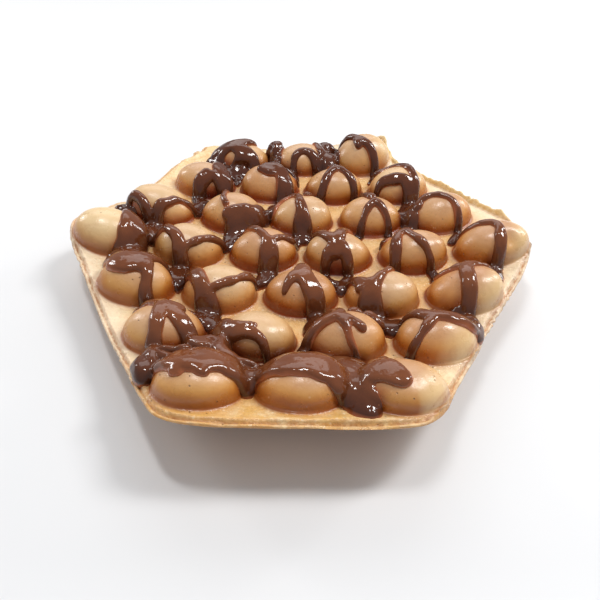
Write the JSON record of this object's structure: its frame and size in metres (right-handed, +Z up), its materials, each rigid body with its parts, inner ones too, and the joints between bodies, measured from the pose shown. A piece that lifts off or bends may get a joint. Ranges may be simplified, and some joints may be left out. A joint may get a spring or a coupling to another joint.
{
  "type": "bubble waffle",
  "caption": "Whole egg-shaped bubble waffle in a rounded hexagon, golden brown, with milk chocolate sauce poured over its bubbles.",
  "frame": {"origin": "centre of the bounding box in plan, on the surface the waffle lies on", "axes": "+Z up; +Y runs across the rows from the front row of three bubbles to the back row of three; +X runs along the rows, to the right seen from the front"},
  "size_m": [0.1949, 0.2024, 0.0351],
  "materials": {
    "waffle": "baked batter, golden brown crowns and paler sheet between them, soft sheen",
    "sauce": "melted milk chocolate sauce, smooth and glossy"
  },
  "bodies": {
    "root": {"waffle": "waffle"}
  },
  "joints": []
}
